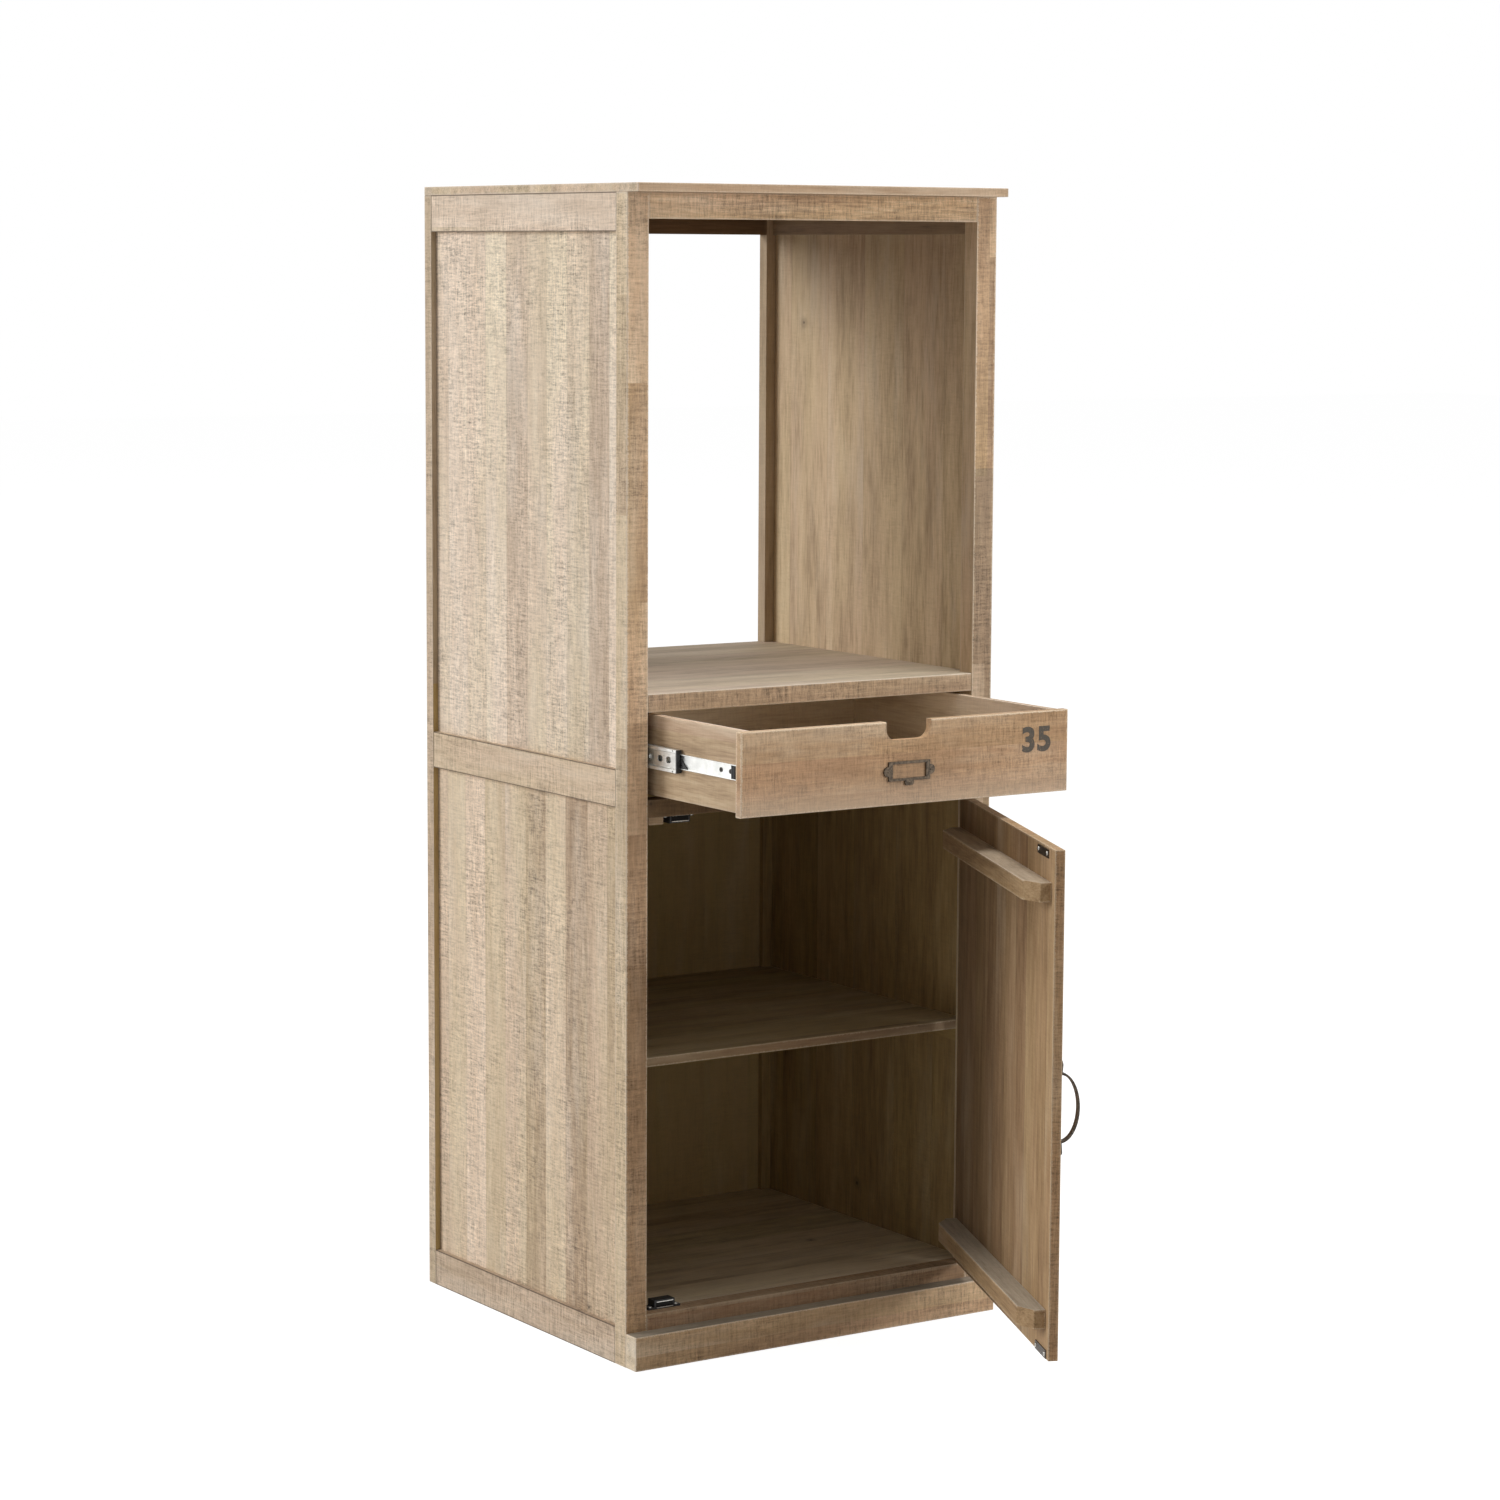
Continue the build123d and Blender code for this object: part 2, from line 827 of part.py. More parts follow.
def slide_screw(extra=0.0):
    head = screw_shank_radius + slide_steel
    return countersunk(head, screw_shank_radius, slide_screw_length, extra)


def slide_screw_places():
    x = slide_x(slide_steel)
    pitch = (slide_length - 2 * slide_screw_margin) / (slide_screw_count - 1)
    first = slide_front + slide_screw_margin
    spots = [first + number * pitch for number in range(slide_screw_count)]
    return [facing((-1, 0, 0), (x, y, slide_level)) for y in spots]


def outer_member():
    half = slide_steel / 2
    edge = outer_height / 2 - half
    section = both_ways([(half, edge), (outer_flange, edge)])
    member = strip(section, (slide_front, slide_front + slide_length))
    return drilled(member, slide_screw(screw_fit), slide_screw_places())


def middle_y():
    """The middle member's two ends when the drawer is closed."""
    return (slide_front + middle_set_back, slide_front + slide_length)


def middle_member():
    top = (middle_height - slide_steel) / 2
    section = [
        (middle_web, middle_web_height / 2),
        (middle_ridge, middle_ridge_height / 2),
        (middle_ridge, top),
        (middle_flange, top),
    ]
    member = strip(both_ways(section), middle_y())
    end = middle_y()[0]
    slot = extrude(SlotOverall(slot_length, slot_width), amount=slide_steel, both=True)
    centres = [end + slot_margin + number * slot_spacing for number in range(slot_count)]
    places = [
        Plane((slide_x(middle_web), y, slide_level), x_dir=(0, 1, 0), z_dir=(1, 0, 0)).location
        for y in centres
    ]
    member = drilled(member, slot, places)
    hole = Cylinder(rivet_hole_radius, 2 * slide_steel)
    level = (middle_ridge_height + middle_height) / 4
    rivets = [
        facing((1, 0, 0), (slide_x(middle_ridge), end + rivet_hole_set_back, slide_level + side * level))
        for side in (-1, 1)
    ]
    return drilled(member, hole, rivets)


def drawer_member():
    half = slide_steel / 2
    edge = inner_height / 2 - half
    section = both_ways([(slide_thickness - half, edge), (inner_flange, edge)])
    member = strip(section, (slide_front, slide_front + slide_length))
    return drilled(member, pilot(drawer_screw_length), drawer_screw_places())


def drawer_screw_places():
    x = slide_x(slide_thickness - slide_steel)
    first = slide_front + drawer_screw_margin
    last = slide_front + slide_length - drawer_screw_back_margin
    spots = [first, first + drawer_screw_spacing, last]
    return [facing((1, 0, 0), (x, y, slide_level)) for y in spots]


def drawer_screws():
    screws = [place * pan_screw(drawer_screw_length) for place in drawer_screw_places()]
    return group(screws + [mirrored(screw) for screw in screws])


def ball_cage(web, arm, ball_across, ball_level, ball_radius, y):
    """A cage strip with an arm above and below, and the balls that it keeps apart."""
    arm_z = (ball_level - cage_thickness / 2, ball_level + cage_thickness / 2)
    x = (slide_x(web - cage_thickness / 2), slide_x(web + cage_thickness / 2))
    cage = block(x, y, grown((slide_level, slide_level), arm_z[1]))
    arm_x = (x[0], slide_x(arm))
    cage += block(arm_x, y, (slide_level + arm_z[0], slide_level + arm_z[1]))
    cage += block(arm_x, y, (slide_level - arm_z[1], slide_level - arm_z[0]))
    pitch = (y[1] - y[0]) / ball_count
    spots = [
        Pos(slide_x(ball_across), y[0] + pitch * (number + 0.5), slide_level + side * ball_level)
        for number in range(ball_count)
        for side in (-1, 1)
    ]
    cage = drilled(cage, Sphere(ball_radius + ball_pocket_clearance), spots)
    return group([cage] + [spot * Sphere(ball_radius) for spot in spots])


def outer_cage():
    """The cage between the outer and the middle member, with the drawer closed."""
    gap = (middle_height / 2, outer_height / 2 - slide_steel)
    level = (gap[0] + gap[1]) / 2
    back = slide_front + slide_length
    moved = slide_travel * outer_cage_share
    first = slide_front + moved + cage_end_margin
    last = back - slide_travel * middle_share + moved - cage_end_margin
    y = (first, min(last, back - cage_end_margin))
    return ball_cage(outer_cage_web, outer_flange, outer_ball_across, level, outer_ball_radius, y)


def inner_cage():
    """The cage between the middle and the drawer member, with the drawer closed."""
    gap = (inner_height / 2, middle_height / 2 - slide_steel)
    level = (gap[0] + gap[1]) / 2
    moved = slide_travel * inner_cage_share
    first = middle_y()[0] + moved - slide_travel * middle_share + cage_end_margin
    last = slide_front + slide_length + moved - slide_travel - cage_end_margin
    y = (first, last)
    return ball_cage(inner_cage_web, middle_flange, inner_ball_across, level, inner_ball_radius, y)


def middle_bumper():
    """The plastic stop on the middle member's front end, open where the drawer member runs through."""
    half = slide_steel / 2
    end = middle_y()[0]
    x = (slide_x(middle_ridge - half), slide_x(middle_flange))
    z = grown((slide_level, slide_level), middle_height / 2)
    stop = block(x, (end - bumper_length, end), z)
    channel_x = (slide_x(inner_flange - bumper_clearance), x[1])
    channel_z = grown((slide_level, slide_level), inner_height / 2 + bumper_clearance)
    return stop - block(channel_x, (end - bumper_length, end), channel_z)


def release_lever():
    """A tapered lever with a window, lying in the drawer member's channel."""
    reach = inner_height / 2 - slide_steel - lever_edge
    first = slide_front + lever_set_back
    last = first + lever_length
    x = slide_x(slide_thickness - slide_steel)
    low = slide_level - reach
    high = slide_level + reach
    rim = lever_rim
    outline = [(x, first, low), (x, last, low), (x, last, high), (x, last - rim, high)]
    window = [
        (x, first + 3 * rim, low + rim),
        (x, last - rim, low + rim),
        (x, last - rim, high - 2 * rim),
    ]
    lever = prism(outline, (1, 0, 0), lever_thickness)
    return lever - prism(window, (1, 0, 0), lever_thickness)


def end_bumper():
    """A ribbed plastic plug in the front end of the drawer member."""
    reach = inner_height / 2 - slide_steel
    first = slide_front + end_bumper_set_back
    deep = slide_x(slide_thickness - slide_steel)
    z = grown((slide_level, slide_level), reach)
    face = deep + end_bumper_thickness
    plug = block((deep, face), (first, first + end_bumper_length), z)
    pitch = end_bumper_length / rib_count
    for number in range(1, rib_count):
        middle = first + number * pitch
        plug -= block((face - rib_depth, face), grown((middle, middle), rib_gap / 2), z)
    return plug


# All sub-parts


def pair(name, shape):
    return {"right_" + name: shape, "left_" + name: mirrored(shape)}


def moved(shapes, place):
    return {name: place * shape for name, shape in shapes.items()}


def carcass():
    post = front_post()
    hinge_post = drilled(post, hinge_screw(screw_fit), hinge_screw_places(False))
    catch_places = [place for seat in catch_seats() for place in catch_screw_places(*seat)]
    screw_hole = pilot(catch_screw_length)
    slide_screws = [place * slide_screw() for place in slide_screw_places()]
    screws = slide_screws + [mirrored(screw) for screw in slide_screws]
    screws += [place * pan_screw(catch_screw_length) for place in catch_places]
    screws += [place * hinge_screw() for place in hinge_screw_places(False)]
    return {
        "top_panel": top_panel(),
        "plinth_board": plinth_board(),
        "right_front_post": hinge_post,
        "left_front_post": mirrored(post),
        **pair("back_post", back_post()),
        **pair("top_rail", side_rail(side_top_z, groove_below=True)),
        **pair("middle_rail", side_rail(side_middle_z, groove_below=True, groove_above=True)),
        **pair("bottom_rail", side_rail(side_bottom_z, groove_above=True)),
        **pair("upper_panel", side_panel(side_middle_z, side_top_z)),
        **pair("lower_panel", side_panel(side_bottom_z, side_middle_z)),
        "front_top_rail": front_rail(top_rail_z, top_rail_depth),
        "drawer_rail": drilled(front_rail(drawer_rail_z, front_rail_depth), screw_hole, catch_places),
        "floor_rail": drilled(front_rail(floor_rail_z, front_rail_depth), screw_hole, catch_places),
        "back_top_rail": back_rail(back_top_z),
        "back_middle_rail": back_rail(back_middle_z, groove_below=True),
        "back_bottom_rail": back_rail(back_bottom_z, groove_above=True),
        "back_panel": back_panel(),
        "oven_shelf": oven_shelf(),
        "middle_shelf": inner_board((middle_shelf_bottom, middle_shelf_bottom + middle_shelf_thickness)),
        "floor_board": inner_board((floor_top - floor_board_thickness, floor_top)),
        "side_cleats": cleats(),
        "door_stop_block": stop_block(),
        "catch_bodies": group([catch_body(*seat) for seat in catch_seats()]),
        "catch_magnets": group([piece for seat in catch_seats() for piece in catch_magnet(*seat)]),
        "carcass_screws": group(screws),
        "hinge_post_leaves": hinge_post_leaves(),
        **pair("outer_slide_member", outer_member()),
    }


def middle_slides():
    return {
        **pair("middle_slide_member", middle_member()),
        **pair("middle_bumper", middle_bumper()),
    }


def drawer():
    clips = [release_lever(), end_bumper()]
    return {
        "drawer_front": drawer_front(),
        **pair("drawer_side", drawer_side()),
        "drawer_back": drawer_back(),
        "drawer_bottom": drawer_bottom(),
        "label_frame": label_frame(),
        **pair("drawer_slide_member", drawer_member()),
        "drawer_slide_clips": group(clips + [mirrored(clip) for clip in clips]),
        "drawer_screws": drawer_screws(),
    }


def door():
    closed = {
        "door_panel": door_panel(),
        "door_upper_batten": batten(door_top - upper_batten_drop - batten_height),
        "door_lower_batten": batten(door_bottom + lower_batten_rise),
        "strike_plates": group(
            [
                strike_plate(upper_catch_x, upper_strike_z),
                strike_plate(lower_catch_x, lower_strike_z),
            ]
        ),
        "hinge_door_leaves": group([hinge_leaf(level, True) for level in hinge_levels]),
        "door_handle": door_handle(),
        "door_screws": door_screws(),
    }
    return {name: opened(shape) for name, shape in closed.items()}


def out(share):
    """How far a piece has moved at rest that follows the drawer by this share."""
    return Pos(0, -drawer_rest * share, 0)


def cabinet():
    return {
        **carcass(),
        **moved(middle_slides(), out(middle_share)),
        **moved(pair("outer_ball_cage", outer_cage()), out(outer_cage_share)),
        **moved(pair("inner_ball_cage", inner_cage()), out(inner_cage_share)),
        **moved(drawer(), out(1)),
        **door(),
    }


os.makedirs("parts", exist_ok=True)
for name, shape in cabinet().items():
    export_step(shape, os.path.join("parts", name + ".step"))
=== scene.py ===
import math

import bmesh
import bpy
from mathutils import Matrix, Vector


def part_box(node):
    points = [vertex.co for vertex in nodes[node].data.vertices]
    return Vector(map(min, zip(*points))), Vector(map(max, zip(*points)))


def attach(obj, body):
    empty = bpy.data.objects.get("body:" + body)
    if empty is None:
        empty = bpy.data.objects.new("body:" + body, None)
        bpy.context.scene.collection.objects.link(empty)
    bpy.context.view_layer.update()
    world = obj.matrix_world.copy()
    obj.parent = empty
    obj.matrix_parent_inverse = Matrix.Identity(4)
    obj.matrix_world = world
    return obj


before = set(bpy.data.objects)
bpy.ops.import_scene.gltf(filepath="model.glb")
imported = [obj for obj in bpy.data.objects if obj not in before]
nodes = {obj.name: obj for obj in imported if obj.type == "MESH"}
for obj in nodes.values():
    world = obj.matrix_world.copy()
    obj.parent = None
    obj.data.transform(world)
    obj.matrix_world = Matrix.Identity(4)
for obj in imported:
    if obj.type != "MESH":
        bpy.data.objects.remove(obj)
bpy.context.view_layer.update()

MM = 0.001
WELD_DISTANCE = 0.01 * MM
HINGE_AXIS = Vector((281.25, -579.2, 0)) * MM
DOOR_CLOSING_TURN = math.radians(-66.75)
ON_DOOR = ("door_panel", "door_upper_batten", "door_lower_batten")


# Shader networks


class Net:
    """Adds shader nodes to a tree. All but node and feed return output sockets."""

    def __init__(self, tree):
        self.tree = tree

    def feed(self, socket, source):
        """Gives an input a plain value or links it to another node's output."""
        if isinstance(source, bpy.types.NodeSocket):
            self.tree.links.new(source, socket)
        else:
            socket.default_value = source

    def node(self, kind, inputs, **settings):
        made = self.tree.nodes.new("ShaderNode" + kind)
        for name, setting in settings.items():
            setattr(made, name, setting)
        for key, source in inputs.items():
            self.feed(made.inputs[key], source)
        return made

    def math(self, operation, *sources, clamp=False):
        inputs = dict(enumerate(sources))
        return self.node("Math", inputs, operation=operation, use_clamp=clamp).outputs[0]

    def add(self, *sources):
        total = sources[0]
        for source in sources[1:]:
            total = self.math("ADD", total, source)
        return total

    def times(self, a, b):
        return self.math("MULTIPLY", a, b)

    def less(self, a, b):
        return self.math("SUBTRACT", a, b)

    def swing(self, source, amount=1.0):
        """The source, from 0 to 1, as a change of that amount around nothing."""
        return self.times(self.less(source, 0.5), amount)

    def rise(self, source, low, high):
        """Rises smoothly from 0 to 1 as the source goes from low to high."""
        inputs = {"Value": source, "From Min": low, "From Max": high}
        return self.node("MapRange", inputs, interpolation_type="SMOOTHSTEP").outputs[0]

    def fall(self, source, low, high):
        """Falls smoothly from 1 to 0 as the source goes from low to high."""
        return self.less(1.0, self.rise(source, low, high))

    def vector(self, x, y, z):
        return self.node("CombineXYZ", {0: x, 1: y, 2: z}).outputs[0]

    def parts(self, vector):
        return tuple(self.node("SeparateXYZ", {0: vector}).outputs)

    def vector_math(self, operation, *sources):
        return self.node("VectorMath", dict(enumerate(sources)), operation=operation).outputs[0]

    def noise(self, vector, detail=2.0, roughness=0.55, distortion=0.0):
        inputs = {"Vector": vector, "Scale": 1.0, "Detail": detail, "Roughness": roughness}
        inputs["Distortion"] = distortion
        return self.node("TexNoise", inputs).outputs[0]

    def cells(self, place, unevenness, feature, output):
        """Cells of about one unit along a line."""
        inputs = {"W": place, "Scale": 1.0, "Randomness": unevenness}
        made = self.node("TexVoronoi", inputs, voronoi_dimensions="1D", feature=feature)
        return made.outputs[output]

    def randoms(self, place, unevenness):
        """Three random numbers for the cell that the place is in."""
        picked = self.cells(place, unevenness, "F1", "Color")
        return tuple(self.node("SeparateColor", {0: picked}).outputs)

    def mix(self, share, a, b, blend="MIX"):
        inputs = {0: share, 6: a, 7: b}
        return self.node("Mix", inputs, data_type="RGBA", blend_type=blend).outputs[2]

    def here(self):
        """The place in the shared frame, in metres."""
        return self.node("TexCoord", {}).outputs["Object"]

    def seen(self):
        """1 for what the camera sees, also by reflection, and 0 for the light on the pieces."""
        path = self.node("LightPath", {}).outputs
        direct = self.math("MAXIMUM", path["Is Camera Ray"], path["Is Glossy Ray"])
        return self.math("MAXIMUM", direct, path["Is Transmission Ray"])


def new_material(name):
    """A material, what adds its nodes, and its surface shader."""
    material = bpy.data.materials.new(name)
    material.use_nodes = True
    tree = material.node_tree
    return material, Net(tree), tree.nodes["Principled BSDF"]


def rgb(red, green, blue):
    """A colour given as it looks on screen, from 0 to 255."""
    def straight(level):
        share = level / 255
        return share / 12.92 if share <= 0.04045 else ((share + 0.055) / 1.055) ** 2.4
    return (straight(red), straight(green), straight(blue), 1.0)


# Timber

WOOD_NUMBERS = (
    "Stave Width", "Seed", "Stave Contrast", "Lengths", "Grain", "Saw", "Mottle", "Wear", "Seam",
)
WOOD_COLOURS = ("Dark", "Middle", "Light", "Lime")

# Noise that follows the grain of each stave: how often it changes in a metre across and along
# the grain, then its detail, roughness and distortion
FIGURES = {
    "hue": (9.0, 1.6, 2.0, 0.5, 0.0),
    "stain": (11.0, 2.1, 4.0, 0.65, 0.0),
    "cloud": (12.0, 1.9, 3.0, 0.6, 0.8),
    "figure": (38.0, 3.6, 2.0, 0.5, 0.5),
    "streak": (90.0, 9.0, 3.0, 0.6, 0.0),
    "pore": (330.0, 20.0, 2.0, 0.7, 0.0),
    "fibre": (420.0, 26.0, 2.0, 0.6, 0.0),
}
# Noise that runs on across the whole board, given in the same way, without distortion
MARKS = {
    "patch": (11.0, 6.0, 2.0, 0.5),
    "kerf": (26.0, 290.0, 2.0, 0.6),
    "dash": (110.0, 420.0, 1.0, 0.5),
    "thread": (420.0, 40.0, 2.0, 0.6),
    "weave": (500.0, 540.0, 1.0, 0.5),
}
KERF_SWING, DASH_SWING, THREAD_SWING, WEAVE_SWING = 1.05, 0.75, 1.0, 0.6
LIGHTER_MARKS = 0.65
FIGURE_SWING, STREAK_SWING, FIBRE_SWING, FLECK_TONE = 0.6, 0.75, 0.7, -0.14
STAVE_UNEVENNESS, LENGTH_UNEVENNESS = 0.3, 0.7
LENGTHS_IN_A_METRE = 3.1
REDDER, YELLOWER = (1.02, 0.982, 0.975, 1), (0.995, 0.987, 0.92, 1)
LIME_SHARE = 0.42
JOINT_WIDTH, JOINT_SHARE = 1.1 * MM, 0.3
WORN_EDGE = (0.4 * MM, 2.8 * MM)
WORN_RAGGEDNESS = 6 * MM
# Painted shade along the seams where a board meets its neighbours
SEAM_SHADE_EDGE = (0.6 * MM, 2 * MM)
SEAM_SHADE_COLOUR = (0.05, 0.033, 0.02, 1)
WOOD_ROUGHNESS = 0.62


def add_sockets(tree, direction, kind, names):
    for name in names:
        tree.interface.new_socket(name, in_out=direction, socket_type="NodeSocket" + kind)


def wood_group():
    """Planked timber. Place is across the staves, through the board and along the grain, from
    the board's middle. A stave's tone, tint and marks differ from its neighbours', and where
    Lengths is above 0, so do the lengths that each stave is made of."""
    tree = bpy.data.node_groups.new("planked_wood", "ShaderNodeTree")
    add_sockets(tree, "INPUT", "Vector", ("Place", "Half Size"))
    add_sockets(tree, "INPUT", "Float", WOOD_NUMBERS)
    add_sockets(tree, "INPUT", "Color", WOOD_COLOURS)
    add_sockets(tree, "OUTPUT", "Color", ("Color",))
    add_sockets(tree, "OUTPUT", "Float", ("Roughness", "Height"))
    net = Net(tree)
    given = tree.nodes.new("NodeGroupInput").outputs
    seed, lengths, grain = given["Seed"], given["Lengths"], given["Grain"]
    x, y, z = net.parts(given["Place"])

    # The staves and their lengths, and where their grain is taken from
    stave_place = net.add(net.math("DIVIDE", x, given["Stave Width"]), seed)
    stave_tone, stave_tint, stave_marks = net.randoms(stave_place, STAVE_UNEVENNESS)
    length_place = net.add(net.times(z, LENGTHS_IN_A_METRE), net.times(stave_tone, 5.0), seed)
    length_tone, length_tint = net.randoms(length_place, LENGTH_UNEVENNESS)[:2]
    wander = net.noise(net.vector(net.times(x, 3.0), seed, net.times(z, 1.3)))
    length_shift = net.times(net.times(length_tone, lengths), 3.0)
    grain_x = net.add(x, net.times(stave_tint, 9.7), length_shift, net.swing(wander, 12 * MM))
    grain_y = net.add(y, net.times(stave_marks, 3.3))
    grain_z = net.add(z, net.times(stave_tone, 11.3), seed)

    def figure(name):
        across, along, *look = FIGURES[name]
        sides = net.times(grain_x, across), net.times(grain_y, across)
        return net.noise(net.vector(*sides, net.times(grain_z, along)), *look)

    def mark(name):
        across, along, *look = MARKS[name]
        sides = net.times(x, across), net.times(y, across)
        return net.noise(net.vector(*sides, net.add(net.times(z, along), seed)), *look)

    # Saw marks, coarser in some places and on some staves
    coarse = net.math("MULTIPLY_ADD", net.rise(mark("patch"), 0.34, 0.66), 0.5, 0.5)
    coarse = net.times(net.add(coarse, net.swing(stave_marks, 0.3)), given["Saw"])
    weave = mark("weave")
    marks = net.add(
        net.swing(mark("kerf"), KERF_SWING),
        net.swing(mark("dash"), DASH_SWING),
        net.swing(mark("thread"), THREAD_SWING),
        net.swing(weave, WEAVE_SWING),
    )
    marks = net.times(net.math("MINIMUM", marks, net.times(marks, LIGHTER_MARKS)), coarse)

    # The tone from dark to light, then the tint, the lime and the marks
    streak, fibre = figure("streak"), figure("fibre")
    fleck = net.rise(figure("pore"), 0.6, 0.8)
    tone = net.add(
        0.5,
        net.times(net.swing(stave_tone), given["Stave Contrast"]),
        net.times(net.swing(length_tone), lengths),
        net.times(net.swing(figure("cloud")), given["Mottle"]),
        net.times(net.swing(figure("figure"), FIGURE_SWING), grain),
        net.times(net.swing(streak, STREAK_SWING), grain),
        net.times(net.swing(fibre, FIBRE_SWING), grain),
        net.times(net.times(fleck, FLECK_TONE), grain),
    )
    darker = net.math("MULTIPLY_ADD", tone, 2.0, 0.0, clamp=True)
    lighter = net.math("MULTIPLY_ADD", tone, 2.0, -1.0, clamp=True)
    colour = net.mix(darker, given["Dark"], given["Middle"])
    colour = net.mix(lighter, colour, given["Light"])
    hue = net.add(
        figure("hue"),
        net.swing(stave_tint, 0.3),
        net.times(net.swing(length_tint, 0.5), lengths),
    )
    tint = net.mix(net.rise(hue, 0.36, 0.64), REDDER, YELLOWER)
    colour = net.mix(1.0, colour, tint, "MULTIPLY")
    limed = net.times(net.rise(figure("stain"), 0.48, 0.72), LIME_SHARE)
    colour = net.mix(limed, colour, given["Lime"])
    marked = {0: colour, "Scale": net.add(1.0, marks)}
    colour = net.node("VectorMath", marked, operation="SCALE").outputs[0]

    # Joints between the staves. A board of one piece has no contrast and no joints.
    from_joint = net.cells(stave_place, STAVE_UNEVENNESS, "DISTANCE_TO_EDGE", "Distance")
    joint = net.fall(net.times(from_joint, given["Stave Width"]), 0.0, JOINT_WIDTH)
    joint = net.times(joint, net.math("GREATER_THAN", given["Stave Contrast"], 0.001))
    colour = net.mix(net.times(joint, JOINT_SHARE), colour, given["Dark"])

    # Worn arrises, and painted shade along the seams where the board meets its neighbours. The
    # middle one of the three distances to the board's faces is the distance to the nearest edge.
    room = net.vector_math("ABSOLUTE", given["Place"])
    rx, ry, rz = net.parts(net.vector_math("SUBTRACT", given["Half Size"], room))
    nearest = net.math("MINIMUM", net.math("MINIMUM", rx, ry), rz)
    farthest = net.math("MAXIMUM", net.math("MAXIMUM", rx, ry), rz)
    from_edge = net.less(net.less(net.add(rx, ry, rz), nearest), farthest)
    worn = net.fall(net.add(from_edge, net.swing(weave, WORN_RAGGEDNESS)), *WORN_EDGE)
    colour = net.mix(net.times(worn, given["Wear"]), colour, given["Lime"])
    seam_shade = net.times(net.fall(from_edge, *SEAM_SHADE_EDGE), given["Seam"])
    colour = net.mix(seam_shade, colour, SEAM_SHADE_COLOUR)

    height = net.add(
        net.times(fibre, 0.3),
        net.times(marks, 1.2),
        net.times(fleck, -0.3),
        net.times(joint, -1.2),
    )
    rough = net.add(WOOD_ROUGHNESS, net.times(streak, 0.18), net.times(marks, -0.1))
    out = tree.nodes.new("NodeGroupOutput").inputs
    for name, source in (("Color", colour), ("Roughness", rough), ("Height", height)):
        net.feed(out[name], source)
    return tree


WOOD = wood_group()


def board_place(net, door):
    """The place on a board in the shared frame, on the door with the door closed."""
    place = net.here()
    if door:
        turned = {"Vector": place, "Center": HINGE_AXIS, "Axis": (0, 0, 1)}
        turned["Angle"] = DOOR_CLOSING_TURN
        place = net.node("VectorRotate", turned, rotation_type="AXIS_ANGLE").outputs[0]
    return place


def past_plane(net, place, axis, side, plane):
    """1 past that plane and 0 before it. Side 0 means both sides of the cabinet's middle."""
    along = net.parts(place)["XYZ".index(axis)]
    along = net.times(along, side) if side else net.math("ABSOLUTE", along)
    return net.math("GREATER_THAN", along, plane)


def ramped_stain_and_shade(net, colour, place, stain):
    """Ramps a colour in from start to end, up to that distance from the cabinet's middle."""
    axis, start, end, tone, share, reach = stain
    spots = dict(zip("XYZ", net.parts(place)))
    inside = net.math("LESS_THAN", net.math("ABSOLUTE", spots["X"]), reach)
    reached = net.times(net.rise(spots[axis], start, end), inside)
    return net.mix(net.times(reached, share), colour, tone)


def knotted(net, colour, spot, reach):
    """Darkens the colour around a knot at that place on the board."""
    place = net.here()
    away = net.node("VectorMath", {0: place, 1: spot}, operation="DISTANCE").outputs["Value"]
    uneven = net.noise(net.vector_math("MULTIPLY", place, (90, 90, 90)))
    away = net.add(net.math("DIVIDE", away, reach), net.swing(uneven, 1.1))
    core = net.times(net.fall(away, 0.15, 0.75), 0.8)
    halo = net.times(net.fall(away, 0.5, 2.2), 0.3)
    return net.mix(net.math("MAXIMUM", core, halo), colour, (0.04, 0.025, 0.015, 1))


def painted(net, colour, place, paint):
    """Paint that is worn through in places."""
    rubbed = net.noise(net.vector_math("MULTIPLY", place, (260, 260, 420)), 3.0)
    return net.mix(net.times(net.rise(rubbed, 0.24, 0.4), 0.94), colour, paint)


def wood(name, look, seed, box, door=False, paint=None):
    """A timber material for one board, from what BOARDS says of it."""
    grain, width, colours, finish, changes = look
    material, net, shader = new_material(name)
    low, high = box
    place = net.vector_math("SUBTRACT", board_place(net, door), (low + high) / 2)
    found = dict(zip("XYZ", net.parts(place)))
    sizes = dict(zip("XYZ", (high - low) / 2))
    through = ({"X", "Y", "Z"} - {grain, width}).pop()
    order = (width, through, grain)
    place = net.vector(*(found[axis] for axis in order))

    numbers = {key: level for key, level in changes.items() if key in WOOD_NUMBERS}
    inputs = {"Seed": seed, "Lengths": 0.0, "Seam": 0.0, **finish, **numbers, **colours}
    for axis, side, plane, other_colours, other_finish in changes.get("faces", ()):
        past = past_plane(net, board_place(net, door), axis, side, plane)
        for key in WOOD_COLOURS:
            inputs[key] = net.mix(past, inputs[key], other_colours[key])
        for key, level in other_finish.items():
            change = net.less(level, inputs[key])
            inputs[key] = net.math("MULTIPLY_ADD", past, change, inputs[key])
    inputs.update({"Place": place, "Half Size": tuple(sizes[axis] for axis in order)})
    timber = net.node("Group", inputs, node_tree=WOOD).outputs

    colour = timber["Color"]
    if "stain" in changes:
        colour = ramped_stain_and_shade(net, colour, board_place(net, door), changes["stain"])
    for spot, reach in changes.get("knots", ()):
        colour = knotted(net, colour, spot, reach)
    if paint is not None:
        colour = painted(net, colour, place, paint)
    bump = {"Height": timber["Height"], "Strength": 0.5, "Distance": 0.6 * MM}
    shader.inputs["Specular IOR Level"].default_value = 0.3
    net.feed(shader.inputs["Base Color"], colour)
    net.feed(shader.inputs["Roughness"], timber["Roughness"])
    net.feed(shader.inputs["Normal"], net.node("Bump", bump).outputs[0])
    return material


def shades(*tones):
    """A timber's dark, middle, light and limed colours."""
    return dict(zip(WOOD_COLOURS, (rgb(*tone) for tone in tones)))
